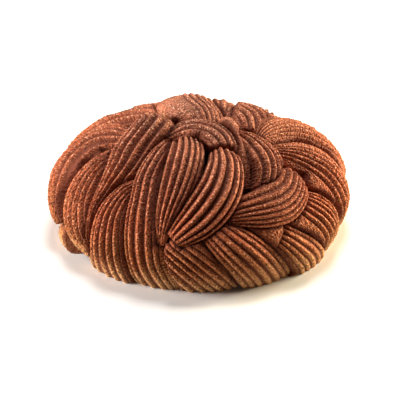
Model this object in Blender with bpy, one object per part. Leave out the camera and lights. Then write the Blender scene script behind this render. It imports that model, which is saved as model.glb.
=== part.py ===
"""A moulded mousse cake that looks braided: ribbed strands of cocoa mousse lie over and under
each other on a domed core, which holds a cremeux, a crunch layer and a sponge base.

Millimetres in the design, metres in the scene. Z is up, and the cake stands on z = 0 with its
axis on the origin. Front is -Y.
"""
import bisect
import math
from dataclasses import dataclass, field

import bmesh
import bpy
from mathutils import Vector

MM = 0.001

# The mean skin, a turned dome that the strands' crests follow
SKIN_RADIUS = 108.0
SKIN_HEIGHT = 78.0
WIDEST_HEIGHT = 18.0
FOOT_RADIUS = 104.0
SHOULDER_POWER = 1.65

# The strands, from the core outwards
STRAND_DEPTH = 14.0
SEAT_GAP = 0.3
SIDE_GAP = 0.6
EDGE_DROP = 5.5
CROWN_POWER = 2.4
LEAST_THICKNESS = 2.5
TIP_LENGTH = 8.0
TIP_DROP = 8.0
ROOT_DEPTH = 4.0
ROOM_HEIGHT = 12.0

# The ribs: how far their ridges and the plain margins stand above the mean skin, and how deep the
# grooves between them are, in millimetres and at most as a share of a rib's width
RIB_TOP = 0.6
MARGIN_TOP = -0.4
RIB_DEPTH = 2.6
RIB_SHARE = 0.55
UNEVEN_RIBS = 0.2

# Towards the foot the grooves and the strands' edges get shallower
FOOT_FADE = 20.0
FOOT_GROOVE = 0.45

# The filling
SPONGE_RADIUS = 80.0
SPONGE_HEIGHT = 10.0
CRUNCH_HEIGHT = 4.0
CREMEUX_RADIUS = 66.0
CREMEUX_HEIGHT = 16.0
CREMEUX_ROUNDING = 5.0
FIT_GAP = 0.3

# How finely the shapes are drawn
RING_STEP = 12.5
TURNED_SEGMENTS = 36
CORE_STEPS = 10
PROFILE_SAMPLES = 400

# The map that the strands are drawn on: the skin laid flat, its foot at this radius
MAP_RIM = 149.0

# Name: base colour (linear), roughness
MATERIALS = {
    "cocoa_velvet": ((0.235, 0.075, 0.032), 0.85),
    "cremeux": ((0.060, 0.018, 0.008), 0.35),
    "crunch": ((0.300, 0.150, 0.055), 0.80),
    "sponge": ((0.130, 0.050, 0.022), 0.90),
}


@dataclass
class Strand:
    """A ribbed strand. A station is x, y and the width on the map, and the lift of the crest
    above the mean skin. Left and right are those of someone walking along the stations; the
    ribs' widths run from left to right, in shares of their sum. Depth is the grooves' depth, as
    a share of the usual one."""
    name: str
    stations: list
    ribs: int
    plain_left: float = 0.0
    plain_right: float = 0.0
    depth: float = 1.0
    tip_first: bool = False
    tip_last: bool = False
    widths: list = field(default_factory=list)


def polar(degrees, radius, width, lift):
    """A station by its bearing, counter-clockwise from +X, and its distance from the crown."""
    angle = math.radians(degrees)
    return (radius * math.cos(angle), radius * math.sin(angle), width, lift)


# Low strands round the back and the sides of the foot, all alike
FOOT_STRANDS = 9
FIRST_FOOT_BEARING = 5.0
FOOT_PITCH = 23.0
FOOT_SLANT = 24.0


def foot_strand(number):
    foot = FIRST_FOOT_BEARING + FOOT_PITCH * number
    start = foot - FOOT_SLANT
    stations = [
        polar(start, 84, 26, -6),
        polar(start + 0.25 * FOOT_SLANT, 102, 32, -1),
        polar(start + 0.6 * FOOT_SLANT, 122, 36, 0),
        polar(foot, 144, 38, 0),
        polar(foot + 0.3 * FOOT_SLANT, 160, 38, -1),
    ]
    return Strand(f"strand_foot_{number + 1}", stations, ribs=5, plain_right=0.25)


# From the lowest to the topmost: each strand is cut where a later one lies on it
STRANDS = [foot_strand(number) for number in range(FOOT_STRANDS)] + [
    Strand("strand_foot_left", [
        (-148, -33, 18, 2), (-139, -50, 24, 5), (-129, -68, 29, 8), (-117, -86, 30, 9),
        (-103, -103, 26, 6)], ribs=0),
    Strand("strand_back_left", [
        (-8, 8, 10, -6), (-23, 25, 18, -1), (-41, 41, 24, 1), (-64, 46, 32, 3),
        (-90, 46, 40, 4), (-112, 47, 44, 4), (-138, 56, 44, 1)], ribs=5,
        widths=[4, 4, 5, 6, 7]),
    Strand("strand_left_upper", [
        (-46, -9, 18, -5), (-58, -5, 28, -2), (-78, 2, 46, 5), (-95, -9, 49, 8),
        (-105, -26, 37, 7.5), (-111, -42, 23, 5.5), (-115, -56, 11, 1.5)], ribs=6,
        widths=[8, 8, 8, 6, 5, 5]),
    Strand("strand_left_lower", [
        (-56, -18, 10, -4), (-70, -26, 22, 1), (-84, -38, 32, 2), (-94, -55, 34, 2),
        (-98, -75, 32, 1), (-98, -92, 22, -2), (-97, -104, 12, -4)], ribs=6, plain_left=0.12,
        widths=[5, 5, 6, 6, 6, 5]),
    Strand("strand_crown_right", [
        (12, 28, 24, -6), (25, 27, 30, 0), (37, 21, 40, 3), (43, 9, 42, 3.5),
        (41, -6, 34, 2), (37, -20, 26, -3)], ribs=5, plain_right=0.12,
        widths=[5, 6, 5, 5, 5]),
    Strand("strand_crown_under", [
        (13, -8, 12, -7), (14, 6, 18, -3), (15, 26, 22, -0.5), (15, 50, 28, -2), (18, 82, 34, -6),
        (22, 104, 32, -9)], ribs=4, depth=0.4),
    Strand("strand_crown_back", [
        (-18, 84, 40, -6), (-14, 56, 46, 1), (-12, 26, 48, 4), (-2, 4, 40, 2), (3, -12, 28, -5)],
        ribs=5, plain_right=0.5),
    Strand("strand_right_under", [
        (46, -20, 14, -8), (62, -13, 24, -6), (84, -8, 30, -5), (106, -11, 30, -4),
        (126, -20, 28, -5)], ribs=5),
    Strand("strand_right_upper", [
        (43, -17, 8, -2), (55, 0, 24, 1), (71, 14, 38, 4), (90, 24, 50, 5), (110, 32, 56, 4),
        (134, 40, 56, 1), (156, 46, 56, -1)], ribs=6, plain_right=0.36,
        widths=[4, 4, 5, 6, 6, 6]),
    Strand("strand_right_lower", [
        (53, -23, 14, -4), (65, -21, 26, 0), (79, -19, 42, 2.5), (95, -20, 54, 4),
        (111, -25, 55, 3), (128, -34, 50, 0), (148, -48, 38, -4)], ribs=6, plain_right=0.2,
        widths=[8, 7.5, 7, 6.5, 8, 7.5]),
    Strand("strand_foot_right", [
        (64, -66, 30, -3), (80, -72, 48, 0.5), (97, -75, 54, 2.5), (113, -80, 54, 2),
        (128, -91, 50, 0), (143, -105, 46, -3)], ribs=6, plain_right=0.44,
        widths=[4, 4, 4, 5, 5, 6]),
    Strand("strand_front_under", [
        (34, -86, 22, -3), (48, -95, 26, -1), (60, -101, 28, 0), (74, -108, 28, -1)], ribs=0),
    Strand("strand_foot_front_right", [
        (59, -98, 24, 0), (79, -102.5, 33, 2), (96, -105.5, 37, 3.5), (113, -113, 41, 4),
        (131, -124, 44, 2)], ribs=5, plain_right=0.3, tip_first=True,
        widths=[5, 5.5, 5.5, 4.5, 4.5]),
    Strand("strand_foot_front_left", [
        (-29, -108.5, 32, 0.5), (-15.5, -119, 40, 1.5), (-4.5, -128, 45, 1),
        (7.5, -138.5, 50, 0), (20, -150, 52, -1.5)], ribs=7, plain_left=0.22, tip_first=True,
        widths=[4.6, 5, 4.8, 4.4, 6.5, 7.5, 5]),
    Strand("strand_foot_front", [
        (-2, -93, 14, -4), (11, -101, 24, 0), (24, -109.5, 30, 2), (40, -118.5, 34, 2),
        (56, -127.5, 36, 1), (72, -137, 38, 0)], ribs=7, widths=[4, 4.4, 5.4, 6.5, 5.4, 4.3, 5]),
    Strand("strand_back_over_right", [
        polar(20, 110, 12, -6), polar(29, 104, 26, -4), polar(39, 96, 32, -5), polar(51, 88, 30, -7),
        polar(64, 80, 22, -9)], ribs=7, depth=0.6, tip_last=True),
    Strand("strand_back_over", [
        polar(58, 118, 12, -6), polar(66, 112, 26, -4), polar(78, 103, 32, -4), polar(91, 93, 32, -4),
        polar(104, 84, 22, -6)], ribs=7, tip_last=True),
    Strand("strand_back_over_left", [
        polar(98, 114, 12, -5), polar(106, 106, 26, -1), polar(117, 97, 32, -2),
        polar(129, 88, 28, -3), polar(140, 80, 18, -6)], ribs=7),
    Strand("strand_crown_tongue", [
        (16, 2, 8, -1), (19, -6, 10, 4), (23.5, -16, 10, 4), (29, -29, 10, 2),
        (33.5, -40, 10, 1), (36.5, -51, 10, 0), (39, -63, 8, -3)], ribs=0, tip_first=True),
    Strand("strand_crown_arch", [
        (-25, -18, 14, -3), (-9, -14, 22, 1.5), (8, -19, 24, 3), (19, -30, 23, 2.5),
        (24, -45, 17, -1), (25, -62, 12, -6)], ribs=5, widths=[3, 5.5, 5.5, 4.5, 3]),
    Strand("strand_right_shoulder", [
        (28, -13, 10, -2), (37, -20, 20, 1), (46.5, -33, 26, 3), (50.5, -47, 23, 2),
        (50, -64, 19, -3)], ribs=4, widths=[4.2, 4.5, 5.5, 8]),
    Strand("strand_left_shoulder", [
        (-37, 10, 30, 5), (-41, -8, 34, 6), (-49, -26, 34, 4.5), (-57, -42, 28, 3.5),
        (-68, -56, 18, 2), (-80, -69, 9, 0.5), (-90, -88, 6, -1)], ribs=5, tip_first=True,
        widths=[5, 6, 9, 9, 6]),
    Strand("strand_left_fan", [
        (-40, -58, 10, -4), (-54, -64.5, 19, 0), (-64.5, -76.5, 27, 2), (-70, -89, 32, 2.5),
        (-75, -105, 37, 2.5), (-82, -121, 44, 2), (-90, -137, 50, 1)], ribs=5, plain_left=0.2,
        widths=[5, 5, 6.5, 6, 5]),
    Strand("strand_left_long", [
        (-17, -22, 14, -2), (-25.5, -37, 20, 2), (-34.3, -56, 23.5, 3), (-38, -72, 24.5, 3),
        (-41, -87, 28, 2.5), (-43.5, -104, 30, 1.5), (-44.5, -122, 30, 0.5), (-42, -142, 32, -1),
        (-40, -158, 32, -2)], ribs=5, plain_left=0.13, tip_first=True,
        widths=[3.8, 4.6, 7.5, 4.6, 3.5]),
    Strand("strand_front_centre", [
        (-11, -21, 20, 0), (-10, -38, 26, 4), (-13, -56, 28, 4.5), (-18, -73, 25, 3.5),
        (-24, -89, 19, 2), (-29, -105, 14, 0)], ribs=6, tip_first=True,
        widths=[3.2, 3.6, 3.8, 5, 5, 7.5]),
    Strand("strand_right_over", [
        (18, -91, 13, -3), (33, -85, 23, 2), (46, -79.5, 29, 4), (58, -71.5, 32, 4.5),
        (66.5, -60, 28, 4), (70, -46, 24, 2.5), (69, -34, 18, 0)], ribs=7, tip_last=True,
        widths=[6, 6.5, 4.5, 4, 4, 3.8, 3.8]),
    Strand("strand_front_over", [
        (14.5, -31, 16, 0), (17.5, -50, 25, 5), (14.8, -68, 30, 6), (8, -82, 31.5, 5),
        (-1, -93, 29, 3.5), (-10, -100.5, 23, 2), (-19, -107, 15, 0)], ribs=6,
        tip_first=True,
        widths=[2.8, 3.6, 4.6, 5.3, 4, 4]),
]


def dome_profile():
    """The dome from the crown to below the foot: samples of the skin's arc length, the core's
    radius and height, and the step from the core to the skin."""
    samples, arc, before = [], 0.0, None
    power = 2 / SHOULDER_POWER
    tuck_steps = PROFILE_SAMPLES // 4
    for i in range(PROFILE_SAMPLES + 2 * tuck_steps + 1):
        turn = 0.5 * math.pi * min(i / PROFILE_SAMPLES, 1)
        down = max(i - PROFILE_SAMPLES, 0) / tuck_steps
        out = math.sin(turn) ** power
        up = max(math.cos(turn), 0) ** power if down == 0 else 0.0
        tuck = (SKIN_RADIUS - FOOT_RADIUS) * down ** 2
        skin = (SKIN_RADIUS * out - tuck,
                WIDEST_HEIGHT * (1 - down) + (SKIN_HEIGHT - WIDEST_HEIGHT) * up)
        arc += math.dist(before, skin) if before else 0.0
        before = skin
        step = (STRAND_DEPTH * out, STRAND_DEPTH * up)
        samples.append((arc, skin[0] - step[0], skin[1] - step[1], *step))
    return samples


PROFILE = dome_profile()
PROFILE_ARCS = [sample[0] for sample in PROFILE]
REACH = next(arc for arc, radius, height, out, up in PROFILE if height + up <= 0)
MAP_SCALE = REACH / MAP_RIM


def dome_at(arc):
    """The core's radius and height, and the step out to the skin, at a distance from the crown
    along the skin."""
    i = min(max(bisect.bisect(PROFILE_ARCS, arc), 1), len(PROFILE) - 1)
    a, b = PROFILE[i - 1], PROFILE[i]
    share = (arc - a[0]) / (b[0] - a[0])
    return [p + share * (q - p) for p, q in zip(a[1:], b[1:])]


def place(x, y, lift):
    """The point in space, in millimetres, that lies above a point of the map."""
    radius, height, out, up = dome_at(math.hypot(x, y) * MAP_SCALE)
    bearing = math.atan2(y, x)
    share = 1 + lift / STRAND_DEPTH
    reach = radius + share * out
    return Vector((reach * math.cos(bearing), reach * math.sin(bearing), height + share * up))


def sidestep(x, y, heading):
    """The step on the map that moves 1 mm to the right of the heading on the real skin."""
    map_radius = max(math.hypot(x, y), 1e-6)
    radius, height, out, up = dome_at(map_radius * MAP_SCALE)
    round_scale = max(radius + out, 1e-6) / map_radius
    outward = (x / map_radius, y / map_radius)
    going_out = (heading[0] * outward[0] + heading[1] * outward[1]) * MAP_SCALE
    going_round = (heading[1] * outward[0] - heading[0] * outward[1]) * round_scale
    size = math.hypot(going_out, going_round)
    step_out = going_round / size / MAP_SCALE
    step_round = -going_out / size / round_scale
    return (step_out * outward[0] - step_round * outward[1],
            step_out * outward[1] + step_round * outward[0])


def smooth_station(stations, t):
    """A station read from the smooth curve through the stations; t counts them from 0."""
    i = min(int(t), len(stations) - 2)
    f = t - i
    a, b = stations[i], stations[i + 1]
    before = stations[i - 1] if i > 0 else [2 * p - q for p, q in zip(a, b)]
    after = stations[i + 2] if i + 2 < len(stations) else [2 * q - p for p, q in zip(a, b)]
    return [0.5 * (2 * q + (r - p) * f + (2 * p - 5 * q + 4 * r - s) * f ** 2
                   + (3 * q - p - 3 * r + s) * f ** 3)
            for p, q, r, s in zip(before, a, b, after)]


@dataclass
class Ring:
    """Where a cross-section of a strand stands: its middle and its step to the right on the map,
    half its width, its crest's lift, and the heading."""
    middle: tuple
    right: tuple
    heading: tuple
    half: float
    lift: float


def rings_of(strand):
    """The cross-sections of a strand, evenly spaced, with more of them round a tip."""
    fine = 12
    last = len(strand.stations) - 1
    ticks = [i / fine for i in range(last * fine + 1)]
    marks = [smooth_station(strand.stations, t) for t in ticks]
    spots = [place(m[0], m[1], 0) for m in marks]
    travelled = [0.0]
    for a, b in zip(spots, spots[1:]):
        travelled.append(travelled[-1] + (b - a).length)
    length = travelled[-1]
    count = max(3, round(length / RING_STEP))
    stops = [length * i / count for i in range(count + 1)]
    nose = [TIP_LENGTH * share for share in (0.3, 1.0)]
    if strand.tip_first:
        stops = [0.0] + nose + [s for s in stops if s > 1.5 * TIP_LENGTH]
    if strand.tip_last:
        stops = [s for s in stops if s < length - 1.5 * TIP_LENGTH] + [
            length - s for s in reversed(nose)] + [length]
    rings = []
    for stop in stops:
        i = min(max(bisect.bisect(travelled, stop), 1), len(ticks) - 1)
        share = (stop - travelled[i - 1]) / (travelled[i] - travelled[i - 1])
        t = ticks[i - 1] + share * (ticks[i] - ticks[i - 1])
        x, y, width, lift = smooth_station(strand.stations, t)
        ahead = smooth_station(strand.stations, min(t + 0.02, last))
        behind = smooth_station(strand.stations, max(t - 0.02, 0))
        heading = Vector((ahead[0] - behind[0], ahead[1] - behind[1])).normalized()
        for shows, away in ((strand.tip_first, stop), (strand.tip_last, length - stop)):
            if shows and away < TIP_LENGTH:
                lift -= TIP_DROP * (1 - math.sqrt(1 - (1 - away / TIP_LENGTH) ** 2))
        half = width * MAP_SCALE / 2
        rings.append(Ring((x, y), sidestep(x, y, heading), tuple(heading), half, lift))
    return rings


def beside(ring, sideways):
    """The map point beside a ring's middle, sideways millimetres to the right."""
    return (ring.middle[0] + sideways * ring.right[0], ring.middle[1] + sideways * ring.right[1])


def on_ring(ring, sideways, lift):
    return place(*beside(ring, sideways), lift)


def foot_fade(x, y):
    """The share of the grooves' and the edges' depth that is left at a map point."""
    return min(max((MAP_RIM - math.hypot(x, y)) / FOOT_FADE, FOOT_GROOVE), 1)


def ribbed_section(strand):
    """Places across a strand from left to right: the share from -1 to 1, the height above the
    mean skin, and in a groove the width of the narrower rib beside it, as a share too."""
    left, right = -1 + 2 * strand.plain_left, 1 - 2 * strand.plain_right
    if strand.ribs == 0:
        return [(-1 + 0.4 * i, MARGIN_TOP, 0) for i in range(6)]
    places = []
    if strand.plain_left:
        places += [(-1, MARGIN_TOP, 0), ((left - 1) / 2, MARGIN_TOP, 0)]
    widths = strand.widths or [1 + UNEVEN_RIBS * math.sin(2.4 * k) for k in range(strand.ribs)]
    scale = (right - left) / sum(widths)
    at, before = left, widths[0]
    for width in widths:
        places += [(at, RIB_TOP, min(before, width) * scale), (at + 0.5 * width * scale, RIB_TOP, 0)]
        at, before = at + width * scale, width
    places.append((right, RIB_TOP, before * scale))
    if strand.plain_right:
        places += [((right + 1) / 2, MARGIN_TOP, 0), (1, MARGIN_TOP, 0)]
    return places


def strand_outline(strand, ring):
    """One cross-section: over the ribs from left to right, then back inside the core, by way of
    the middle."""
    edge_drop = min(EDGE_DROP, 0.35 * ring.half)
    outline = []
    for share, top, groove in ribbed_section(strand):
        x, y = beside(ring, share * ring.half)
        drop = edge_drop * abs(share) ** CROWN_POWER
        depth = strand.depth * min(RIB_DEPTH, RIB_SHARE * groove * ring.half)
        lift = ring.lift + top - foot_fade(x, y) * (drop + depth)
        outline.append(place(x, y, max(lift, LEAST_THICKNESS - STRAND_DEPTH)))
    for share in (1, 0, -1):
        outline.append(on_ring(ring, share * ring.half, -STRAND_DEPTH - ROOT_DEPTH))
    return outline


def loft(outlines):
    """A closed mesh through cross-sections with the same number of points. Each end is a fan
    from the section's last point but one, the middle of its root."""
    shape = bmesh.new()
    loops = [[shape.verts.new(point * MM) for point in outline] for outline in outlines]
    for a, b in zip(loops, loops[1:]):
        for i in range(len(a)):
            j = (i + 1) % len(a)
            shape.faces.new((a[i], a[j], b[j]))
            shape.faces.new((a[i], b[j], b[i]))
    for loop in (loops[0], loops[-1]):
        hub, rim = loop[-2], loop[-1:] + loop[:-2]
        for a, b in zip(rim, rim[1:]):
            shape.faces.new((hub, a, b))
    bmesh.ops.recalc_face_normals(shape, faces=shape.faces)
    return shape


def new_object(name, shape):
    mesh = bpy.data.meshes.new(name)
    shape.to_mesh(mesh)
    shape.free()
    thing = bpy.data.objects.new(name, mesh)
    bpy.context.collection.objects.link(thing)
    return thing


def strand_room(strand, rings):
    """The space that a strand keeps to itself: its outline with the side gap, from inside the
    core to above every strand."""
    inside, above = -STRAND_DEPTH - 1.5 * ROOT_DEPTH, ROOM_HEIGHT
    outlines = []
    for i, ring in enumerate(rings):
        reach = {0: -SIDE_GAP, len(rings) - 1: SIDE_GAP}.get(i, 0.0)
        middle = (ring.middle[0] + reach * ring.heading[0], ring.middle[1] + reach * ring.heading[1])
        moved = Ring(middle, ring.right, ring.heading, ring.half + SIDE_GAP, ring.lift)
        corners = ((-1, above), (0, above), (1, above), (1, inside), (0, inside), (-1, inside))
        outlines.append([on_ring(moved, share * moved.half, lift) for share, lift in corners])
    return new_object("room_" + strand.name, loft(outlines))


def ground_room():
    """Everything below the plane that the cake stands on."""
    shape = bmesh.new()
    size = 4 * SKIN_RADIUS * MM
    bmesh.ops.create_cube(shape, size=size)
    bmesh.ops.translate(shape, verts=shape.verts, vec=(0, 0, -size / 2))
    return new_object("room_ground", shape)


def world_box(thing):
    corners = [vertex.co for vertex in thing.data.vertices]
    return ([min(corner[i] for corner in corners) for i in range(3)],
            [max(corner[i] for corner in corners) for i in range(3)])


def boxes_meet(a, b):
    (low_a, high_a), (low_b, high_b) = a, b
    return all(low_a[i] < high_b[i] and low_b[i] < high_a[i] for i in range(3))


def cut(thing, rooms):
    """Takes the rooms away from a solid and keeps its largest remaining body."""
    for room in rooms:
        modifier = thing.modifiers.new("cut", "BOOLEAN")
        modifier.operation = "DIFFERENCE"
        modifier.object = room
    bpy.context.view_layer.update()
    evaluated = thing.evaluated_get(bpy.context.evaluated_depsgraph_get())
    mesh = bpy.data.meshes.new_from_object(evaluated)
    thing.modifiers.clear()
    thing.data = mesh
    shape = bmesh.new()
    shape.from_mesh(mesh)
    bodies = []
    left = set(shape.verts)
    while left:
        body, edge = set(), [next(iter(left))]
        while edge:
            vertex = edge.pop()
            if vertex in body:
                continue
            body.add(vertex)
            edge += [e.other_vert(vertex) for e in vertex.link_edges]
        left -= body
        bodies.append(body)
    bodies.sort(key=len, reverse=True)
    for body in bodies[1:]:
        bmesh.ops.delete(shape, geom=list(body), context="VERTS")
    shape.to_mesh(mesh)
    shape.free()


def lathe(name, outline):
    """A turned solid from an outline of radius and height that starts and ends on the axis."""
    shape = bmesh.new()
    verts = [shape.verts.new(Vector((radius, 0, height)) * MM) for radius, height in outline]
    edges = [shape.edges.new((a, b)) for a, b in zip(verts, verts[1:])]
    bmesh.ops.spin(shape, geom=verts + edges, cent=(0, 0, 0), axis=(0, 0, 1), angle=2 * math.pi,
                   steps=TURNED_SEGMENTS, use_merge=True, use_duplicate=False)
    bmesh.ops.remove_doubles(shape, verts=shape.verts, dist=1e-6)
    bmesh.ops.recalc_face_normals(shape, faces=shape.faces)
    return new_object(name, shape)


def core_skin(gap):
    """The core's outer outline from the crown to the ground, grown by a gap."""
    arcs = [REACH * i / CORE_STEPS for i in range(CORE_STEPS + 1)]
    outline = []
    for arc in arcs:
        radius, height, out, up = dome_at(arc)
        size = math.hypot(out, up)
        outline.append((radius + gap * out / size, height + gap * up / size))
    return outline


def add_filling():
    """The core and the three layers in its pocket, from the ground up."""
    crunch_low = SPONGE_HEIGHT + FIT_GAP
    crunch_high = crunch_low + CRUNCH_HEIGHT
    cremeux_low = crunch_high + FIT_GAP
    cremeux_high = cremeux_low + CREMEUX_HEIGHT
    pocket_top = cremeux_high + FIT_GAP
    wide, narrow = SPONGE_RADIUS + FIT_GAP, CREMEUX_RADIUS + FIT_GAP
    core = core_skin(0.0) + [
        (wide, 0.0), (wide, crunch_low), (narrow, crunch_low),
        (narrow, pocket_top - CREMEUX_ROUNDING), (narrow - CREMEUX_ROUNDING, pocket_top),
        (0.0, pocket_top)]
    sponge = [(0.0, SPONGE_HEIGHT), (SPONGE_RADIUS, SPONGE_HEIGHT), (SPONGE_RADIUS, 0.0), (0.0, 0.0)]
    crunch = [(0.0, crunch_high), (CREMEUX_RADIUS, crunch_high), (CREMEUX_RADIUS, crunch_low),
              (0.0, crunch_low)]
    cremeux = [(0.0, cremeux_high), (CREMEUX_RADIUS - CREMEUX_ROUNDING, cremeux_high),
               (CREMEUX_RADIUS, cremeux_high - CREMEUX_ROUNDING), (CREMEUX_RADIUS, cremeux_low),
               (0.0, cremeux_low)]
    return [
        (lathe("mousse_core", core), "cocoa_velvet"),
        (lathe("sponge_base", sponge), "sponge"),
        (lathe("crunch_layer", crunch), "crunch"),
        (lathe("cremeux", cremeux), "cremeux"),
    ]


def add_strands():
    """Every strand, cut by the rooms of the strands that lie on it, the core and the ground."""
    rings = [rings_of(strand) for strand in STRANDS]
    solids = [new_object(strand.name, loft([strand_outline(strand, ring) for ring in strand_rings]))
              for strand, strand_rings in zip(STRANDS, rings)]
    rooms = [strand_room(strand, strand_rings) for strand, strand_rings in zip(STRANDS, rings)]
    inner = [ground_room(), lathe("room_core", core_skin(SEAT_GAP) + [(0.0, 0.0)])]
    boxes = [world_box(room) for room in rooms]
    for i, solid in enumerate(solids):
        above = [rooms[j] for j in range(i + 1, len(rooms)) if boxes_meet(boxes[i], boxes[j])]
        cut(solid, above + inner)
    for room in rooms + inner:
        bpy.data.objects.remove(room)
    return [(solid, "cocoa_velvet") for solid in solids]


def make_material(name):
    colour, roughness = MATERIALS[name]
    material = bpy.data.materials.new(name)
    material.use_nodes = True
    shader = material.node_tree.nodes["Principled BSDF"]
    shader.inputs["Base Color"].default_value = (*colour, 1)
    shader.inputs["Roughness"].default_value = roughness
    material.diffuse_color = (*colour, 1)
    return material


def main():
    for thing in list(bpy.data.objects):
        bpy.data.objects.remove(thing)
    materials = {name: make_material(name) for name in MATERIALS}
    for thing, material in add_filling() + add_strands():
        thing.data.materials.clear()
        thing.data.materials.append(materials[material])
        thing.data.shade_smooth()
        thing.data.set_sharp_from_angle(angle=math.radians(50))


main()
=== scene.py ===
"""The look of a braided mousse cake: ribbed, cocoa-sprayed strands with rounded ribs and grain.

Millimetres in the design, metres in the scene. The dome is that of the solids. So are the
strands' places, apart from a dozen strands that are moved by some millimetres, and of which three
are tilted too. The map is the dome's skin laid out flat round the crown, with +X to the right and
-Y to the front.
"""
import math
from dataclasses import dataclass, field

import bpy
import numpy as np
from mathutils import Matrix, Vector, noise


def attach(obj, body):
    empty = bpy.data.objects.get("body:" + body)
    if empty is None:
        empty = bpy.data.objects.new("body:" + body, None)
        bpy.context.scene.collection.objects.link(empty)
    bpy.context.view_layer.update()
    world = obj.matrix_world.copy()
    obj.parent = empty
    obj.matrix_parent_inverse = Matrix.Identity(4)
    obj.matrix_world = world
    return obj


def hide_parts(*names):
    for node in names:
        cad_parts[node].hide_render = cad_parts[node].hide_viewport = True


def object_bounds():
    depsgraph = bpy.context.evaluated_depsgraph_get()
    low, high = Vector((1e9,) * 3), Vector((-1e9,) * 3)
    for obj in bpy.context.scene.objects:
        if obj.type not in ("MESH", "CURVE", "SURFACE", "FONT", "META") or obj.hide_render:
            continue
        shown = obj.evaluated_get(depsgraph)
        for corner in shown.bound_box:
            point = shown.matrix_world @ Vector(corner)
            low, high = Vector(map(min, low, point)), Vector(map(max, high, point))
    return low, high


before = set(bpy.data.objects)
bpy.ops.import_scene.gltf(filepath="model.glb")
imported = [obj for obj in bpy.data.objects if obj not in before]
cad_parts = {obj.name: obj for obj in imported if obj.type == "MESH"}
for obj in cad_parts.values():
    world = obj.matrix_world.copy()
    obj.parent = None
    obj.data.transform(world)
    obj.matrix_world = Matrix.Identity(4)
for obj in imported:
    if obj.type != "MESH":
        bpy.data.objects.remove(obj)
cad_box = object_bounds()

MM = 0.001

# The mean skin, a turned dome that the strands' crests follow
SKIN_RADIUS = 108.0
SKIN_HEIGHT = 78.0
WIDEST_HEIGHT = 18.0
FOOT_RADIUS = 104.0
SHOULDER_POWER = 1.65
MAP_RIM = 149.0
PROFILE_SAMPLES = 400

# The strands: their depth from the mean skin down to the core, how far their roots go into it, the
# lowest that their skin gets, and how far their edges drop below the crest, which is no more than
# a share of the half width and grows with a power of the distance from the crest
STRAND_DEPTH = 14.0
ROOT_DEPTH = 4.0
LOWEST_LIFT = 1.0 - STRAND_DEPTH
EDGE_DROP = 5.5
NARROW_DROP = 0.35
CROWN_POWER = 2.4

# The ribs: how far they stand above the mean skin, how deep the grooves between them are, which is
# no more than a share of the rib's width, and how far a ridge reaches from its middle before the
# groove beside it widens into a flat valley. A ridge's section is in part a quarter circle and for
# the rest a wave. The last two are how much the ribs' widths vary, and the turn between two ribs
RIB_TOP = 0.6
RIB_DEPTH = 2.9
RIB_SHARE = 0.62
RIDGE_RADIUS = 2.5
ROUND_PART = 0.45
UNEVEN_RIBS = 0.2
UNEVEN_TURN = 2.4

# The plain margins beside the ribs: their height, how far and over which width their edges round
# off, and how much painted shade a rounded edge gets
MARGIN_TOP = -0.4
MARGIN_DROP = 1.6
MARGIN_ROUNDING = 3.0
MARGIN_EDGE_SHADE = 0.25

# A rib's rounded end: its length and drop, how far from it and by how much the grooves beside it
# are deeper, how steeply the skin falls off past its outline, and how far in from its end a strand
# starts to cover others
TIP_LENGTH = 6.0
TIP_DROP = 8.0
TIP_REACH = 12.0
TIP_GROOVE = 0.7
TIP_FALL = 10.0
TIP_INSET = 3.0

# Over this last stretch before the foot the grooves and the edges' drop shrink, at most to this
# share
FOOT_FADE = 20.0
FOOT_GROOVE = 0.45

# A strand bends down beside another that lies on it, more steeply under it, and gets painted
# shade in the crease. The last value is how far round a strand its neighbours are looked for
TUCK_WIDTH = 2.2
TUCK_DEPTH = 2.2
BURY_SLOPE = 3.0
CREASE_WIDTH = 4.0
NEIGHBOUR_REACH = 8.0

# The grain of the sprayed skin: the coarse grains' size and height, the size and strength of the
# fine ones as shares of these, and the height over which the grain starts above the ground
GRAIN_SIZE = 0.95
GRAIN_HEIGHT = 0.5
FINE_GRAIN_SIZE = 0.55
FINE_GRAIN = 0.35
GROUND_FADE = 2.0

# Below this lift the skin gets painted shade, and this much deeper the painted shade is darkest
DEEP_LIFT = -4.0
DEEP_FADE = 5.0

# How finely the strands are drawn
ROW_STEP = 0.5
TIP_ROW_STEP = 0.4
RIB_STEPS = 10
MARGIN_STEP = 0.6
MARGIN_LEAST = 3
FOOTPRINT_STEP = 2.5
FOOTPRINT_LEAST = 8
STATION_SAMPLES = 24
FOOT_SAMPLES = 400

# The skin's colours at shares of this height in metres, from the foot to the crown. Partly the
# spray's own tone and partly painted light: the pale golden foot is painted light thrown up from
# the floor, and the darker and paler bands above are painted shade and painted top light
COLOUR_HEIGHT = 0.080
SKIN_AND_PAINTED_LIGHT_COLOURS = (
    (0.0, (0.74, 0.370, 0.140)), (0.22, (0.45, 0.138, 0.036)), (0.5, (0.46, 0.098, 0.027)),
    (0.76, (0.37, 0.088, 0.031)), (0.92, (0.49, 0.145, 0.068)), (1.0, (0.33, 0.100, 0.050)))
# Painted shade in the grooves, in the creases under other strands and on deep-lying skin
GROOVE_SHADE_COLOUR = (0.11, 0.019, 0.006)
# Painted highlights: pale dots on the raised grains
DOT_HIGHLIGHT_COLOUR = (0.95, 0.56, 0.36)
DOTS_PER_METRE = 760.0

# The lamps point at this height in metres on the cake's axis
LAMP_AIM_HEIGHT = 0.03


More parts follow.
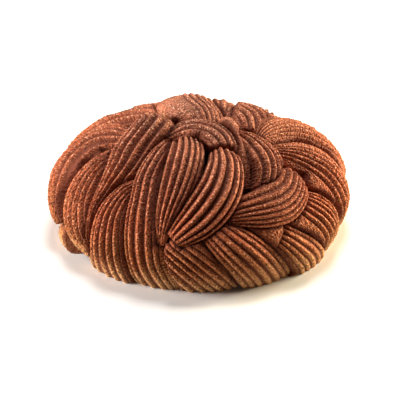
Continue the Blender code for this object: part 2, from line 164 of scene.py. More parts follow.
@dataclass
class Strand:
    """A ribbed strand. A station is x, y and the width on the map, and the lift of the crest
    above the mean skin. Left and right are those of someone walking along the stations."""
    name: str
    stations: list
    ribs: int
    # The shares of the width that have no ribs
    plain_left: float = 0.0
    plain_right: float = 0.0
    # The grooves' depth as a share of the usual one
    depth: float = 1.0
    # How far the right edge is raised and the left one lowered
    tilt: float = 0.0
    # Over this last stretch the grooves run out
    fade_last: float = 0.0
    # The ribs' relative widths, or none where they vary by themselves
    widths: list = field(default_factory=list)
    # Whether the ribs have free, rounded ends, and how far in from the strand's end each one lies
    tip_first: bool = False
    tip_last: bool = False
    first: list = field(default_factory=list)
    last: list = field(default_factory=list)


def polar(degrees, radius, width, lift):
    """A station by its bearing, counter-clockwise from +X, and its distance from the crown."""
    angle = math.radians(degrees)
    return (radius * math.cos(angle), radius * math.sin(angle), width, lift)


# Low strands round the back and the sides of the foot, all alike
FOOT_STRANDS = 9
FIRST_FOOT_BEARING = 5.0
FOOT_PITCH = 23.0
FOOT_SLANT = 24.0


def foot_strand(number):
    """One of the low strands, which runs down counter-clockwise to the foot."""
    foot = FIRST_FOOT_BEARING + FOOT_PITCH * number
    start = foot - FOOT_SLANT
    stations = [
        polar(start, 84, 26, -6),
        polar(start + 0.25 * FOOT_SLANT, 102, 32, -1),
        polar(start + 0.6 * FOOT_SLANT, 122, 36, 0),
        polar(foot, 144, 38, 0),
        polar(foot + 0.3 * FOOT_SLANT, 160, 38, -1),
    ]
    return Strand(f"strand_foot_{number + 1}", stations, ribs=5, plain_right=0.25)


# From the lowest to the topmost: each strand is cut where a later one lies on it
STRANDS = [foot_strand(number) for number in range(FOOT_STRANDS)] + [
    Strand("strand_foot_left", [
        (-148, -33, 18, 1), (-139, -50, 26, 3), (-129, -68, 35, 7), (-116, -91, 37, 9),
        (-98, -112, 34, 7.5)], ribs=0, tilt=7.0),
    Strand("strand_back_left", [
        (-2, 1, 14, -7), (-21, 16, 26, -5), (-41, 35, 34, -2), (-64, 44, 40, 0.5),
        (-90, 46, 44, 2), (-112, 47, 46, 3), (-138, 56, 46, 1)], ribs=5, depth=1.3, tilt=4.0),
    Strand("strand_left_upper", [
        (-46, -9, 18, -5), (-58, -5, 28, -2), (-77, 1, 48, 3.5), (-94, -10, 52, 6),
        (-104, -28, 41, 6), (-110, -44, 27, 4.5), (-114, -58, 15, 1)], ribs=6, depth=1.2,
        tilt=3.0, widths=[8, 8, 8, 6, 5, 5]),
    Strand("strand_left_lower", [
        (-56, -18, 10, -4), (-70, -26, 22, 1.5), (-84, -38, 32, 3.5), (-94, -55, 34, 3.5),
        (-98, -75, 32, 2.5), (-98, -92, 22, -0.5), (-97, -104, 12, -3)], ribs=6, plain_left=0.12,
        widths=[5, 5, 6, 6, 6, 5]),
    Strand("strand_crown_right", [
        (12, 36, 24, -5), (25, 31, 34, 1), (36, 21, 44, 3.5), (43, 8, 44, 4),
        (44, -7, 36, 2), (43, -22, 26, -3)], ribs=5, plain_left=0.2,
        plain_right=0.12, widths=[5, 6, 5, 5, 5]),
    Strand("strand_crown_under", [
        (13, -8, 12, -7), (14, 6, 18, -3), (15, 26, 22, -0.5), (15, 50, 28, -2), (18, 82, 34, -6),
        (22, 104, 32, -9)], ribs=4, depth=0.4),
    Strand("strand_crown_back", [
        (-18, 84, 40, -6), (-14, 56, 44, 1), (-10, 26, 43, 3.5), (0, 4, 38, 0.5), (3, -12, 28, -8)],
        ribs=5, plain_right=0.5, depth=0.55),
    Strand("strand_right_under", [
        (46, -20, 14, -8), (62, -13, 24, -6), (84, -8, 30, -5), (106, -11, 30, -4),
        (126, -20, 28, -5)], ribs=5),
    Strand("strand_right_upper", [
        (43, -17, 8, -2), (55, 0, 24, 1), (71, 14, 38, 4), (90, 24, 50, 5), (110, 32, 56, 4),
        (134, 40, 56, 1), (156, 46, 56, -1)], ribs=6, plain_right=0.22, depth=1.25,
        widths=[5, 5, 5.5, 6, 6, 6]),
    Strand("strand_right_lower", [
        (53, -23, 14, -4), (65, -21, 26, 0), (79, -19, 42, 2.5), (95, -20, 54, 4),
        (111, -25, 55, 3), (128, -34, 50, 0), (148, -48, 38, -4)], ribs=6, plain_right=0.2,
        widths=[8, 7.5, 7, 6.5, 8, 7.5]),
    Strand("strand_foot_right", [
        (64, -66, 30, -3), (80, -72, 48, 0.5), (97, -75, 54, 2), (113, -80, 54, 0.5),
        (128, -91, 50, -1.5), (143, -105, 46, -3.5)], ribs=6, plain_right=0.44,
        widths=[4, 4, 4, 5, 5, 6]),
    Strand("strand_front_under", [
        (34, -86, 22, -3), (48, -95, 26, -1), (60, -101, 28, 0), (74, -108, 28, -1)], ribs=0),
    Strand("strand_foot_front_right", [
        (59, -98, 24, 0), (79, -102.5, 33, 2), (96, -105.5, 37, 3.5), (113, -113, 41, 4),
        (131, -124, 44, 2)], ribs=5, plain_right=0.3, depth=0.8, tip_first=True,
        widths=[5, 5.5, 5.5, 4.5, 4.5]),
    Strand("strand_foot_front_left", [
        (-29, -108.5, 32, 0.5), (-15.5, -119, 40, 1.5), (-4.5, -128, 45, 1),
        (7.5, -138.5, 50, 0), (20, -150, 52, -1.5)], ribs=7, plain_left=0.22, tip_first=True,
        widths=[4.6, 5, 4.8, 4.4, 6.5, 7.5, 5], first=[6, 2, 0, 0, 2, 4, 6]),
    Strand("strand_foot_front", [
        (-2, -93, 14, -4), (11, -101, 24, 0), (24, -109.5, 30, 2), (40, -118.5, 34, 2),
        (56, -127.5, 36, 1), (72, -137, 38, 0)], ribs=7, depth=0.75,
        widths=[4, 4.4, 5.4, 6.5, 5.4, 4.3, 5]),
    Strand("strand_back_over_right", [
        polar(20, 110, 12, -6), polar(29, 103, 28, -4), polar(39, 92, 40, -4.5),
        polar(51, 84, 38, -6.5), polar(64, 77, 26, -9)], ribs=7, depth=0.6, tip_last=True),
    Strand("strand_back_over", [
        polar(58, 118, 12, -6), polar(66, 112, 26, -4), polar(78, 103, 32, -4),
        polar(91, 93, 32, -4), polar(104, 84, 22, -6)], ribs=7, tip_last=True),
    Strand("strand_back_over_left", [
        polar(98, 114, 12, -5), polar(106, 106, 26, -1), polar(117, 97, 32, -2),
        polar(129, 88, 28, -3), polar(140, 80, 18, -6)], ribs=7),
    Strand("strand_crown_tongue", [
        (16, 2, 8, -1), (19, -6, 10, 4), (23.5, -16, 10, 4), (29, -29, 10, 2),
        (33, -40, 10, -1.5), (36, -51, 10, -6), (38.5, -63, 8, -10)], ribs=0, tip_first=True),
    Strand("strand_crown_arch", [
        (-25, -18, 14, -3), (-9, -14, 22, 1.5), (7, -19, 24, 3), (16, -30, 21, 2.5),
        (19, -45, 15, -1), (20, -62, 10, -6)], ribs=5, depth=0.65,
        widths=[3, 5.5, 5.5, 4.5, 3]),
    Strand("strand_right_shoulder", [
        (28, -13, 10, -2), (37, -20, 20, 1), (46.5, -33, 26, 3), (50.5, -47, 23, 2),
        (50, -64, 19, -3)], ribs=5, widths=[3.6, 3.6, 3.8, 5.2, 6.6]),
    Strand("strand_left_shoulder", [
        (-29, 9, 29, 6.5), (-36, -8, 32, 6.5), (-49, -26, 34, 4.5), (-57, -42, 28, 3.5),
        (-68, -56, 18, 2), (-80, -69, 9, 0.5), (-90, -88, 6, -1)], ribs=5, depth=1.25,
        tip_first=True, widths=[5, 7, 6, 6, 6], first=[7, 0, 1.5, 1, 4]),
    Strand("strand_left_fan", [
        (-40, -58, 10, -4), (-54, -64.5, 19, 0), (-64.5, -76.5, 27, 2), (-70, -89, 32, 2.5),
        (-75, -105, 37, 2.5), (-82, -121, 44, 2), (-90, -137, 50, 1)], ribs=5, plain_left=0.2,
        widths=[5, 5, 6.5, 6, 5]),
    Strand("strand_left_long", [
        (-17, -22, 14, -2), (-25.5, -37, 20, 2), (-34.3, -56, 23.5, 3), (-38, -72, 24.5, 3),
        (-41, -87, 28, 2.5), (-43.5, -104, 30, 1.5), (-44.5, -122, 30, 0.5), (-42, -142, 32, -1),
        (-40, -158, 32, -2)], ribs=5, plain_left=0.13, tip_first=True,
        widths=[3.8, 4.6, 7.5, 4.6, 3.5]),
    Strand("strand_front_centre", [
        (-11, -21, 20, 0), (-10, -38, 26, 4), (-13, -56, 28, 4.5), (-18, -73, 25, 3.5),
        (-24, -89, 18, 1.5), (-28, -102, 10, -1), (-30.5, -110, 6, -4)], ribs=6, depth=1.2,
        fade_last=20.0, tip_first=True,
        widths=[3.2, 3.6, 3.8, 5, 5, 7.5], first=[6, 3, 1.5, 0, 0, 1]),
    Strand("strand_right_over", [
        (18, -91, 13, -3), (33, -85, 23, 2), (46, -79.5, 29, 4), (58, -71.5, 32, 4.5),
        (66.5, -60, 28, 4), (70, -46, 24, 2.5), (69, -34, 18, 0)], ribs=7, tip_last=True,
        widths=[6, 6.5, 4.5, 4, 4, 3.8, 3.8], last=[1, 0, 3, 6, 8.5, 11, 14]),
    Strand("strand_front_over", [
        (14.5, -31, 16, 0), (17.5, -50, 25, 5), (14.8, -68, 30, 6), (8, -82, 31.5, 5),
        (-1, -93, 29, 3.5), (-10, -100.5, 23, 2), (-19, -107, 15, 0)], ribs=6, depth=1.2,
        fade_last=6.0, tip_first=True,
        widths=[2.8, 3.6, 4.6, 5.3, 4, 4], first=[7, 4, 2, 0, 1.5, 3]),
]


def dome_profile():
    """Samples of the skin's arc length, the core's radius and height, and the step from the core
    to the skin, from the crown to below the foot."""
    i = np.arange(PROFILE_SAMPLES + PROFILE_SAMPLES // 2 + 1)
    turn = 0.5 * np.pi * np.minimum(i / PROFILE_SAMPLES, 1)
    down = np.maximum(i - PROFILE_SAMPLES, 0) / (PROFILE_SAMPLES // 4)
    power = 2 / SHOULDER_POWER
    out = np.sin(turn) ** power
    up = np.where(down == 0, np.maximum(np.cos(turn), 0) ** power, 0)
    skin_radius = SKIN_RADIUS * out - (SKIN_RADIUS - FOOT_RADIUS) * down ** 2
    skin_height = WIDEST_HEIGHT * (1 - down) + (SKIN_HEIGHT - WIDEST_HEIGHT) * up
    steps = np.hypot(np.diff(skin_radius), np.diff(skin_height))
    arc = np.concatenate(([0.0], np.cumsum(steps)))
    return np.array([arc, skin_radius - STRAND_DEPTH * out, skin_height - STRAND_DEPTH * up,
                     STRAND_DEPTH * out, STRAND_DEPTH * up])


PROFILE = dome_profile()

# From the crown to the ground along the skin, and how much of that is 1 mm of the map
REACH = PROFILE[0][np.argmax(PROFILE[2] + PROFILE[4] <= 0)]
MAP_SCALE = REACH / MAP_RIM


def dome_at(map_radius):
    """The core's radius and height and the step out to the skin, at a map radius."""
    return [np.interp(map_radius * MAP_SCALE, PROFILE[0], row) for row in PROFILE[1:]]


def place(x, y, lift):
    """The points in space, in millimetres, that lie above points of the map."""
    radius, height, out, up = dome_at(np.hypot(x, y))
    bearing = np.arctan2(y, x)
    share = 1 + lift / STRAND_DEPTH
    reach = radius + share * out
    return np.stack([reach * np.cos(bearing), reach * np.sin(bearing), height + share * up], -1)


def sidestep(x, y, heading):
    """The steps on the map that move 1 mm to the right of the headings on the real skin."""
    map_radius = np.maximum(np.hypot(x, y), 1e-6)
    radius, _, out, _ = dome_at(map_radius)
    round_scale = np.maximum(radius + out, 1e-6) / map_radius
    outward = np.stack([x, y], -1) / map_radius[:, None]
    going_out = (heading * outward).sum(-1) * MAP_SCALE
    going_round = (heading[:, 1] * outward[:, 0] - heading[:, 0] * outward[:, 1]) * round_scale
    size = np.hypot(going_out, going_round)
    step_out = going_round / size / MAP_SCALE
    step_round = -going_out / size / round_scale
    return np.stack([step_out * outward[:, 0] - step_round * outward[:, 1],
                     step_out * outward[:, 1] + step_round * outward[:, 0]], -1)


def smooth_stations(stations, ticks):
    """Stations read from the smooth curve through the given ones; ticks count them from 0."""
    marks = np.array(stations, float)
    marks = np.vstack([2 * marks[0] - marks[1], marks, 2 * marks[-1] - marks[-2]])
    i = np.minimum(ticks.astype(int), len(stations) - 2)
    f = (ticks - i)[:, None]
    p, q, r, s = (marks[i + k] for k in range(4))
    return 0.5 * (2 * q + (r - p) * f + (2 * p - 5 * q + 4 * r - s) * f ** 2
                  + (3 * q - p - 3 * r + s) * f ** 3)


def unit(vectors):
    """The vectors with a length of 1."""
    return vectors / np.maximum(np.linalg.norm(vectors, axis=-1, keepdims=True), 1e-9)


class Path:
    """A strand's middle line on the skin, read by the distance along it."""

    def __init__(self, strand):
        last = len(strand.stations) - 1
        ticks = np.linspace(0, last, last * STATION_SAMPLES + 1)
        marks = smooth_stations(strand.stations, ticks)
        self.x, self.y, width, self.lift = marks.T
        self.half = 0.5 * width * MAP_SCALE
        spots = place(self.x, self.y, 0.0)
        steps = np.linalg.norm(np.diff(spots, axis=0), axis=1)
        self.s = np.concatenate(([0.0], np.cumsum(steps)))
        self.length = self.s[-1]
        heading = unit(np.gradient(marks[:, :2], axis=0))
        right = sidestep(self.x, self.y, heading)
        self.right_x, self.right_y = right.T
        self.start = TIP_INSET if strand.tip_first else 0.0
        self.end = self.length - (TIP_INSET if strand.tip_last else 0.0)
        middle = self.footprint()[1]
        reach = self.half.max() + NEIGHBOUR_REACH
        self.box = (middle.min(0) - reach, middle.max(0) + reach)

    def read(self, s, *names):
        """The named values at distances along the line."""
        return [np.interp(s, self.s, getattr(self, name)) for name in names]

    def map_point(self, s, share):
        """The map point at a distance along and a share across, from -1 at the left edge."""
        x, y, right_x, right_y, half = self.read(s, "x", "y", "right_x", "right_y", "half")
        return x + share * half * right_x, y + share * half * right_y

    def footprint(self):
        """Coarse frames along the strand, for telling what lies under it."""
        s = np.linspace(0, self.length, max(FOOTPRINT_LEAST, int(self.length / FOOTPRINT_STEP)))
        middle = place(*self.map_point(s, 0.0), 0.0)
        beside = place(*self.map_point(s, 0.2), 0.0)
        right = unit(beside - middle)
        ahead = unit(np.gradient(middle, axis=0))
        return s, middle, right, ahead


def outside(points, path):
    """How far points of the skin lie outside a strand, in millimetres; less than 0 under it."""
    s, middle, right, ahead = path.footprint()
    gap = points[:, None, :] - middle[None]
    nearest = (gap ** 2).sum(-1).argmin(1)
    own = gap[np.arange(len(points)), nearest]
    along = (own * ahead[nearest]).sum(-1) + s[nearest]
    across = np.abs((own * right[nearest]).sum(-1)) - np.interp(along, path.s, path.half)
    return np.maximum(across, np.maximum(path.start - along, along - path.end))


def rib_marks(strand):
    """Each rib's middle and half width as shares across the strand, widths varying a little."""
    if strand.ribs == 0:
        return []
    left, right = -1 + 2 * strand.plain_left, 1 - 2 * strand.plain_right
    uneven = [1 + UNEVEN_RIBS * math.sin(UNEVEN_TURN * k) for k in range(strand.ribs)]
    widths = strand.widths or uneven
    scale = (right - left) / sum(widths)
    marks, at = [], left
    for width in widths:
        marks.append((at + 0.5 * width * scale, 0.5 * width * scale))
        at += width * scale
    return marks


def columns_of(strand, path, marks):
    """Across the strand from left to right: each column's share, and the number of its rib, or
    -1 on a plain margin."""
    def margin(start, end):
        width = (end - start) * path.half.max()
        count = max(MARGIN_LEAST, math.ceil(width / MARGIN_STEP))
        return list(np.linspace(start, end, count + 1))

    if not marks:
        shares = margin(-1, 1)
        return np.array(shares), np.full(len(shares), -1)
    shares = margin(-1, -1 + 2 * strand.plain_left)[:-1] if strand.plain_left else []
    owners = [-1] * len(shares)
    for k, (middle, half) in enumerate(marks):
        shares += list(middle + half * np.linspace(-1, 1, RIB_STEPS + 1)[:-1])
        owners += [k] * RIB_STEPS
    shares.append(middle + half)
    owners.append(k)
    if strand.plain_right:
        places = margin(1 - 2 * strand.plain_right, 1)[1:]
        shares += places
        owners += [-1] * len(places)
    return np.array(shares), np.array(owners)


def rows_of(strand, path):
    """Distances along the strand, closer together round a tip."""
    places = [0.0]
    while places[-1] < path.length:
        at = places[-1]
        near_first = strand.tip_first and at < TIP_REACH
        near_last = strand.tip_last and path.length - at < TIP_REACH
        places.append(at + (TIP_ROW_STEP if near_first or near_last else ROW_STEP))
    places[-1] = path.length
    return np.array(places)


def foot_end(path, shares):
    """For each column, the distance along at which it reaches the ground, or the strand's end."""
    s = np.linspace(0, path.length, FOOT_SAMPLES)
    ends = []
    for share in shares:
        radius = np.hypot(*path.map_point(s, share))
        grounded = radius >= MAP_RIM
        if grounded[0]:
            ends.append(ROW_STEP)
        elif grounded.any():
            i = int(np.argmax(grounded))
            part = (MAP_RIM - radius[i - 1]) / (radius[i] - radius[i - 1])
            ends.append(s[i - 1] + part * (s[i] - s[i - 1]))
        else:
            ends.append(path.length)
    return np.array(ends)


def round_off(distance):
    """How far a quarter circle has dropped, from 0 at 1 to 1 at 0 or less."""
    return 1 - np.sqrt(1 - (1 - np.clip(distance, 0, 1)) ** 2)


def tip_shape(strand, path, ribs, s, owner):
    """How far into a rib's rounded end each point lies, 0 before it and 1 at its very end, and by
    which factor the grooves are deeper there. A margin ends where its ribs do on average."""
    nose, deeper = np.zeros_like(s), np.ones_like(s)
    for shows, insets, away in ((strand.tip_first, strand.first, s),
                                (strand.tip_last, strand.last, path.length - s)):
        if not shows:
            continue
        insets = np.array((insets or [0.0] * ribs) + [0.0])
        if ribs:
            insets[-1] = insets[:-1].mean()
        beyond = away - insets[owner]
        nose = np.maximum(nose, 1 - beyond / TIP_LENGTH)
        deeper *= 1 + TIP_GROOVE * np.clip(1 - beyond / TIP_REACH, 0, 1)
    return nose, deeper


def relief(strand, path, marks, s, share, owner):
    """The lift of each surface point above the mean skin, and how deep it lies in a groove."""
    half, crest = path.read(s, "half", "lift")
    near_foot = (MAP_RIM - np.hypot(*path.map_point(s, share))) / FOOT_FADE
    near_foot = np.clip(near_foot, FOOT_GROOVE, 1)
    drop = near_foot * np.minimum(EDGE_DROP, NARROW_DROP * half) * np.abs(share) ** CROWN_POWER
    ribbed = owner >= 0
    middle = np.array([m for m, _ in marks] + [0.0])[owner]
    width = np.array([w for _, w in marks] + [1.0])[owner]
    nose, deeper = tip_shape(strand, path, len(marks), s, owner)
    pitch = 2 * width * half
    depth = near_foot * strand.depth * np.minimum(RIB_DEPTH, RIB_SHARE * pitch) * deeper
    if strand.fade_last:
        depth *= np.clip((path.length - s) / strand.fade_last, 0, 1)
    reach = np.hypot(np.where(ribbed, (share - middle) / width, 0.0), nose)
    from_ridge = np.minimum(reach * np.maximum(0.5 * pitch / RIDGE_RADIUS, 1.0), 1)
    arc = 1 - np.sqrt(1 - from_ridge ** 2)
    wave = 0.5 * (1 - np.cos(np.pi * from_ridge))
    section = ROUND_PART * arc + (1 - ROUND_PART) * wave
    edge = round_off((1 - np.abs(share)) * half / MARGIN_ROUNDING)
    lift = crest - drop + strand.tilt * share
    lift += np.where(ribbed, RIB_TOP - depth * section, MARGIN_TOP - MARGIN_DROP * edge)
    lift -= TIP_DROP * (1 - np.sqrt(1 - np.minimum(nose, 1) ** 2))
    lift -= TIP_FALL * np.maximum(reach - 1, 0)
    return lift, np.where(ribbed, from_ridge ** 2, MARGIN_EDGE_SHADE * edge)


def tucked(points, lift, above):
    """The lift where other strands lie on top, and how close each point is to such an edge."""
    crease = np.zeros_like(lift)
    for path in above:
        low, high = path.box
        near = np.all((points > low) & (points < high), axis=-1)
        if not near.any():
            continue
        away = outside(points[near], path)
        lift[near] -= TUCK_DEPTH * round_off(away / TUCK_WIDTH) + BURY_SLOPE * np.maximum(-away, 0)
        lift[near] = np.maximum(lift[near], LOWEST_LIFT)
        crease[near] = np.maximum(crease[near], np.clip(1 - away / CREASE_WIDTH, 0, 1))
    return lift, crease


def strand_surface(strand, order, paths):
    """Rows of points round the strand: over its top from left to right, then three roots inside
    the core. With them comes how much painted shade each point gets, from 0 to 1, by how hollow it
    lies."""
    path = paths[order]
    marks = rib_marks(strand)
    shares, owners = columns_of(strand, path, marks)
    rows = rows_of(strand, path)
    ends = foot_end(path, shares)
    s = rows[:, None] / path.length * ends[None, :]
    share = np.broadcast_to(shares, s.shape)
    owner = np.broadcast_to(owners, s.shape)
    lift, groove = relief(strand, path, marks, s, share, owner)
    x, y = path.map_point(s, share)
    on_skin = place(x, y, 0.0).reshape(-1, 3)
    lift, crease = tucked(on_skin, lift.ravel(), paths[order + 1:])
    lift = np.maximum(lift.reshape(s.shape), LOWEST_LIFT)
    roots = []
    for corner in (shares[-1], 0.0, shares[0]):
        end = ends[np.argmin(np.abs(shares - corner))]
        spots = path.map_point(rows / path.length * end, corner)
        roots.append(place(*spots, -STRAND_DEPTH - ROOT_DEPTH))
    points = np.concatenate([place(x, y, lift), np.stack(roots, 1)], axis=1)
    points[..., 2] = np.maximum(points[..., 2], 0.0)
    # Painted shade: grooves, creases under other strands and deep-lying skin are marked for
    # darkening in the material
    hollow_shade = np.ones(points.shape[:2])
    deep = np.clip((DEEP_LIFT - lift) / DEEP_FADE, 0, 1)
    hollow_shade[:, :len(shares)] = np.maximum(deep, np.maximum(groove, crease.reshape(s.shape)))
    return points, hollow_shade


def tube_faces(row_count, column_count):
    """Quads between rows of points that go round a strand, and a fan over each end."""
    index = np.arange(row_count * column_count).reshape(row_count, column_count)
    a, b = index[:-1], index[1:]
    faces = np.stack([a, b, np.roll(b, -1, 1), np.roll(a, -1, 1)], -1).reshape(-1, 4).tolist()
    for ring, flip in ((index[0].tolist(), False), (index[-1].tolist(), True)):
        hub, rim = ring[-2], ring[-1:] + ring[:-2]
        faces += [(hub, q, p) if flip else (hub, p, q) for p, q in zip(rim, rim[1:])]
    return faces


def grain(points):
    """The height of the sprayed grains at each point, as a share from about -0.6 to 0.6."""
    coarse = [noise.noise(Vector(p)) for p in points / GRAIN_SIZE]
    fine = [noise.noise(Vector(p)) for p in points / (FINE_GRAIN_SIZE * GRAIN_SIZE)]
    return np.array(coarse) + FINE_GRAIN * np.array(fine)


def spray(mesh, points):
    """Raises the grains along the mesh's normals, inside the solids' box, and returns them."""
    normals = np.empty(points.size)
    mesh.vertex_normals.foreach_get("vector", normals)
    grains = grain(points)
    height = GRAIN_HEIGHT * np.clip(points[:, 2] / GROUND_FADE, 0, 1) * grains
    points = points + normals.reshape(-1, 3) * height[:, None]
    mesh.vertices.foreach_set("co", np.clip(points * MM, *cad_box).ravel())
    return grains


def add_strand(strand, order, paths, material):
    """The finished look of one strand, in the place of its solid."""
    points, hollow_shade = strand_surface(strand, order, paths)
    faces = tube_faces(*points.shape[:2])
    points = points.reshape(-1, 3)
    mesh = bpy.data.meshes.new("velvet_" + strand.name)
    mesh.from_pydata((points * MM).tolist(), [], faces)
    mesh.update()
    grains = spray(mesh, points)
    for name, values in (("hollow_shade", hollow_shade), ("grain", grains)):
        mesh.attributes.new(name, "FLOAT", "POINT").data.foreach_set("value", values.ravel())
    mesh.shade_smooth()
    mesh.update()
    piece = bpy.data.objects.new("velvet_" + strand.name, mesh)
    bpy.context.collection.objects.link(piece)
    mesh.materials.append(material)
    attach(piece, "root")
    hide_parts(strand.name)


class Shader:
    """A small helper for building a material's nodes."""

    def __init__(self, name):
        self.material = bpy.data.materials.new(name)
        self.material.use_nodes = True
        self.tree = self.material.node_tree
        self.surface = self.tree.nodes["Principled BSDF"]
        self.coordinates = self.tree.nodes.new("ShaderNodeTexCoord").outputs["Object"]

    def node(self, kind, **inputs):
        """A new node, each input being a number, a colour or another node's output."""
        node = self.tree.nodes.new(kind)
        for name, value in inputs.items():
            self.feed(node.inputs[name.replace("_", " ")], value)
        return node

    def feed(self, socket, value):
        if isinstance(value, bpy.types.NodeSocket):
            self.tree.links.new(value, socket)
        else:
            socket.default_value = value

    def noise(self, scale, detail, roughness):
        return self.node("ShaderNodeTexNoise", Vector=self.coordinates, Scale=scale, Detail=detail,
                         Roughness=roughness).outputs["Fac"]

    def dots(self, scale):
        """The distance from the nearest dot."""
        return self.node("ShaderNodeTexVoronoi", Vector=self.coordinates,
                         Scale=scale).outputs["Distance"]

    def ramp(self, value, *stops):
        """Stops are places from 0 to 1 with a grey or a colour."""
        node = self.node("ShaderNodeValToRGB", Fac=value)
        points = node.color_ramp.elements
        while len(points) < len(stops):
            points.new(0.5)
        for point, (position, colour) in zip(points, stops):
            point.position = position
            point.color = (*colour, 1) if isinstance(colour, tuple) else (colour, colour, colour, 1)
        return node.outputs["Color"]

    def mix(self, kind, factor, a, b):
        """Two colours mixed. The node's colours go in at its sockets 6 and 7 and come out at 2."""
        node = self.tree.nodes.new("ShaderNodeMix")
        node.data_type = "RGBA"
        node.blend_type = kind
        node.clamp_result = True
        self.feed(node.inputs[0], factor)
        self.feed(node.inputs[6], a if not isinstance(a, tuple) else (*a, 1))
        self.feed(node.inputs[7], b if not isinstance(b, tuple) else (*b, 1))
        return node.outputs[2]

    def math(self, kind, a, b):
        node = self.tree.nodes.new("ShaderNodeMath")
        node.operation = kind
        self.feed(node.inputs[0], a)
        self.feed(node.inputs[1], b)
        return node.outputs[0]

    def centred_noise(self, reach, scale, detail, roughness):
        """A noise from about minus to plus half the reach."""
        centred = self.math("SUBTRACT", self.noise(scale, detail, roughness), 0.5)
        return self.math("MULTIPLY", centred, reach)

    def attribute(self, name):
        node = self.tree.nodes.new("ShaderNodeAttribute")
        node.attribute_name = name
        return node.outputs["Fac"]

    def bump(self, height, strength, distance):
        bump = self.node("ShaderNodeBump", Height=height, Strength=strength, Distance=distance)
        self.feed(self.surface.inputs["Normal"], bump.outputs["Normal"])

    def finish(self, colour, roughness, **settings):
        """The material, with its colour, roughness and further settings of the surface."""
        self.feed(self.surface.inputs["Base Color"], colour)
        self.feed(self.surface.inputs["Roughness"], roughness)
        for name, value in settings.items():
            self.surface.inputs[name.replace("_", " ")].default_value = value
        return self.material


def velvet_material():
    """Matt sprayed cocoa velvet: painted highlights as pale dots on the grains, painted shade,
    darker and redder, in the grooves and creases, and colours up the height that are partly painted
    light.
    """
    shader = Shader("cocoa_velvet_look")
    position = shader.node("ShaderNodeSeparateXYZ", Vector=shader.coordinates)
    height = shader.math("MULTIPLY", position.outputs["Z"], 1 / COLOUR_HEIGHT)
    blotched = shader.math("ADD", height, shader.centred_noise(0.5, 45.0, 4.0, 0.6))
    # Partly painted light: the ramp up the height paints a lit golden foot, shaded middle bands and
    # a top-lit upper band over the spray's own tone
    base = shader.ramp(blotched, *SKIN_AND_PAINTED_LIGHT_COLOURS)
    speckle = shader.centred_noise(1.5, 1100.0, 1.0, 0.5)
    grains = shader.math("ADD", shader.attribute("grain"), speckle)
    level = shader.math("ADD", grains, 0.5)
    tones = shader.ramp(level, (0.15, 0.35), (0.45, 0.78), (0.8, 1.0))
    colour = shader.mix("MULTIPLY", 1.0, base, tones)
    # Painted shade: grooves, creases and deep-lying skin are darkened towards the groove shade
    # colour
    hollow_shade = shader.ramp(shader.attribute("hollow_shade"), (0.1, 0.0), (0.85, 1.0))
    colour = shader.mix("MIX", shader.math("MULTIPLY", hollow_shade, 0.85), colour, GROOVE_SHADE_COLOUR)
    # Painted highlights: pale dots on the raised grains, stronger higher up where the top light
    # falls and left out of the painted shade
    from_dot = shader.dots(DOTS_PER_METRE)
    dots = shader.math("MULTIPLY", shader.ramp(from_dot, (0.20, 1.0), (0.45, 0.0)),
                       shader.ramp(level, (0.40, 0.0), (0.65, 1.0)))
    dots = shader.math("MULTIPLY", dots, shader.math("SUBTRACT", 1.0, hollow_shade))
    dots = shader.math("MULTIPLY", dots, shader.ramp(height, (0.3, 0.4), (0.95, 0.8)))
    colour = shader.mix("MIX", dots, colour, DOT_HIGHLIGHT_COLOUR)
    shader.bump(shader.math("SUBTRACT", grains, from_dot), 0.6, 0.0006)
    return shader.finish(colour, 0.85, Sheen_Weight=0.08, Sheen_Roughness=0.5,
                         Sheen_Tint=(1.0, 0.72, 0.52, 1), Specular_IOR_Level=0.25)


def inner_material(name, colour, dark, crumbs, roughness, bump):
    """A crumbly or creamy mass: its light and dark colours, its crumbs per metre, and how rough it
    is and how high its crumbs stand."""
    shader = Shader(name)
    speckle = shader.noise(crumbs, 4.0, 0.65)
    mixed = shader.ramp(speckle, (0.35, dark), (0.6, colour))
    shader.bump(speckle, 0.6, bump)
    return shader.finish(mixed, roughness)


def dress_solids():
    """The core and the layers keep their solids' shapes and get finished materials."""
    looks = {
        # Painted shade: the core shows only in the gaps between strands, and its colour is darkened
        # so that those gaps read as shade
        "mousse_core": inner_material(
            "core_shade_look", colour=(0.13, 0.027, 0.009), dark=(0.04, 0.008, 0.003),
            crumbs=900.0, roughness=0.9, bump=0.0015),
        "sponge_base": inner_material(
            "sponge_look", colour=(0.16, 0.065, 0.03), dark=(0.05, 0.02, 0.01),
            crumbs=380.0, roughness=0.95, bump=0.0012),
        "crunch_layer": inner_material(
            "crunch_look", colour=(0.42, 0.22, 0.09), dark=(0.16, 0.07, 0.03),
            crumbs=260.0, roughness=0.8, bump=0.0012),
        "cremeux": inner_material(
            "cremeux_look", colour=(0.075, 0.024, 0.011), dark=(0.055, 0.017, 0.008),
            crumbs=60.0, roughness=0.35, bump=0.0002),
    }
    for name, look in looks.items():
        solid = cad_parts[name]
        solid.data.materials.clear()
        solid.data.materials.append(look)


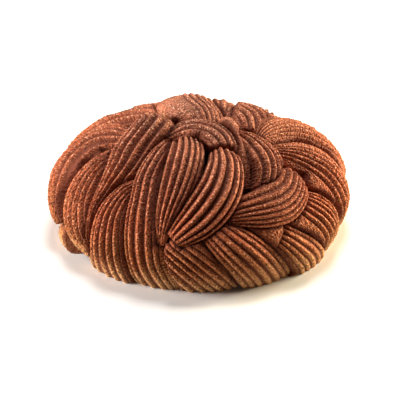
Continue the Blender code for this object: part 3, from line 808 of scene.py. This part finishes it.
def add_floor():
    """Pale ground for the cake to stand on."""
    mesh = bpy.data.meshes.new("floor")
    size = 3.0
    corners = [(-size, -size, 0), (size, -size, 0), (size, size, 0), (-size, size, 0)]
    mesh.from_pydata(corners, [], [(0, 1, 2, 3)])
    floor = bpy.data.objects.new("floor", mesh)
    bpy.context.collection.objects.link(floor)
    shader = Shader("floor_look")
    mesh.materials.append(shader.finish((0.86, 0.85, 0.84, 1), 0.6))


def turn_to(seat, height):
    """Turns a lamp or a camera towards the point at a height on the cake's axis."""
    aim = Vector((0, 0, height)) - seat.location
    seat.rotation_euler = aim.to_track_quat("-Z", "Y").to_euler()


def add_light(name, position, size, power, colour):
    """A square lamp turned to the cake, its position and size in metres and its power in watts."""
    light = bpy.data.lights.new(name, "AREA")
    light.size = size
    light.energy = power
    light.color = colour
    lamp = bpy.data.objects.new(name, light)
    lamp.location = position
    turn_to(lamp, LAMP_AIM_HEIGHT)
    bpy.context.collection.objects.link(lamp)


def add_studio():
    """Soft light from above and behind and from both sides, so that the front stays in shade."""
    world = bpy.data.worlds.new("studio")
    world.use_nodes = True
    world.node_tree.nodes["Background"].inputs["Color"].default_value = (1.0, 0.98, 0.96, 1)
    world.node_tree.nodes["Background"].inputs["Strength"].default_value = 0.12
    add_light("back_light", (0.05, 0.50, 0.94), 0.45, 12.6, (1.0, 0.98, 0.96))
    add_light("left_light", (-0.95, -0.08, 0.27), 0.45, 21.5, (1.0, 0.95, 0.90))
    add_light("right_light", (0.95, 0.37, 0.22), 0.45, 39.0, (1.0, 0.87, 0.62))
    add_light("front_light", (0.10, -1.1, 0.30), 0.60, 0.4, (1.0, 0.90, 0.80))
    bpy.context.scene.view_settings.view_transform = "Standard"


def add_camera():
    """The photograph's view: from the front, looking down at 33 degrees."""
    elevation = math.radians(33)
    distance = 0.9
    aim_height = 0.00705
    focal_pixels = 1218
    frame_pixels = 400
    camera = bpy.data.cameras.new("camera")
    camera.sensor_width = 36
    camera.lens = camera.sensor_width * focal_pixels / frame_pixels
    seat = bpy.data.objects.new("camera", camera)
    seat.location = (0, -distance * math.cos(elevation), distance * math.sin(elevation))
    turn_to(seat, aim_height)
    bpy.context.collection.objects.link(seat)
    bpy.context.scene.camera = seat


add_camera()
add_studio()
add_floor()
dress_solids()
velvet = velvet_material()
paths = [Path(strand) for strand in STRANDS]
for order, strand in enumerate(STRANDS):
    add_strand(strand, order, paths, velvet)
